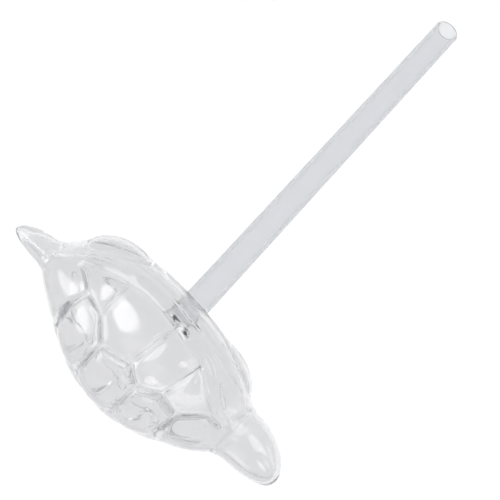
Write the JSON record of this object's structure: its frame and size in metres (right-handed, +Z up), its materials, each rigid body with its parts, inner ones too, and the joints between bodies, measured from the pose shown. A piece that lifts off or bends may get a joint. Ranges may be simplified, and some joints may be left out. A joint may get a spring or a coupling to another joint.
{
  "type": "plant watering bulb",
  "caption": "Clear glass plant-watering bulb: a hollow turtle-shaped reservoir fused on a long open stem tube that is pushed into the soil of a pot.",
  "frame": {"origin": "centre of the stem's open mouth, at the lower end that goes into the soil", "axes": "+Z up along the stem to the turtle, +X towards the turtle's head, +Y to the turtle's left"},
  "size_m": [0.1302, 0.0802, 0.2332],
  "materials": {
    "shell_glass": "clear blown glass, polished by the flame",
    "tube_glass": "clear drawn tube, faintly blue-grey",
    "weld_glass": "clear fused glass, slightly uneven"
  },
  "bodies": {
    "root": {"carapace": "shell_glass", "plastron": "shell_glass", "head": "shell_glass", "tail": "shell_glass", "stem": "tube_glass", "stem_weld": "weld_glass"}
  },
  "joints": []
}
